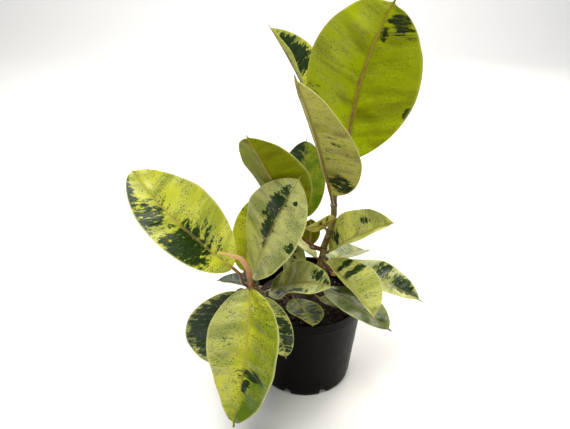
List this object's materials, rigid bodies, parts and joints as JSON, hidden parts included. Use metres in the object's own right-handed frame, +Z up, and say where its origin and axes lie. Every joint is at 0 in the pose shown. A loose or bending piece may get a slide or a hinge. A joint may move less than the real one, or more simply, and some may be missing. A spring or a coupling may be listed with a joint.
{
  "type": "potted rubber plant",
  "caption": "Young variegated rubber plant: a tall main stem and a low side branch with broad leathery leaves, growing in soil in a plain tapered nursery pot.",
  "frame": {"origin": "centre of the pot's flat bottom, on the surface it stands on", "axes": "+Z up; +X to the plant's right and -Y to its front, as seen from the side where the lowest leaf hangs over the pot's edge"},
  "size_m": [0.3242, 0.2941, 0.4817],
  "materials": {
    "black_pot_plastic": "satin injection-moulded black plastic",
    "potting_soil": "dark moist peat and bark potting mix",
    "brown_bark": "smooth brown stem with leaf scars",
    "young_green_brown_stem": "young reddish-brown shoot",
    "pink_bud_sheath": "soft pink papery bud sheath",
    "dark_green_leaf": "glossy leathery leaf, mostly dark green",
    "yellow_green_leaf": "glossy leathery leaf, yellow-green with dark green patches",
    "pale_green_leaf": "glossy leathery leaf, pale green with dark green patches"
  },
  "bodies": {
    "root": {"pot": "black_pot_plastic", "soil": "potting_soil", "main_stem": "brown_bark", "left_branch": "brown_bark", "right_shoot": "young_green_brown_stem", "bud_sheath_left": "pink_bud_sheath", "bud_sheath_crown": "pink_bud_sheath", "bud_sheath_right": "pink_bud_sheath", "leaf_crown_tall": "yellow_green_leaf", "leaf_crown_folded": "yellow_green_leaf", "leaf_crown_back_left": "pale_green_leaf", "leaf_mid_left": "yellow_green_leaf", "leaf_mid_back": "pale_green_leaf", "leaf_left_broad": "yellow_green_leaf", "leaf_centre": "pale_green_leaf", "leaf_left_back": "yellow_green_leaf", "leaf_front_hanging": "yellow_green_leaf", "leaf_hanging_left": "dark_green_leaf", "leaf_hanging_right": "pale_green_leaf", "leaf_low_wavy": "pale_green_leaf", "leaf_low_back": "dark_green_leaf", "leaf_pot_front": "yellow_green_leaf", "leaf_right_upper": "yellow_green_leaf", "leaf_right_back": "pale_green_leaf", "leaf_right_drooping": "pale_green_leaf", "leaf_right_folded": "yellow_green_leaf", "leaf_right_under": "dark_green_leaf", "leaf_right_strip": "yellow_green_leaf", "leaf_small_front": "pale_green_leaf", "leaf_small_shaded": "dark_green_leaf", "leaf_pot_right": "pale_green_leaf", "leaf_left_under": "dark_green_leaf"}
  },
  "joints": []
}
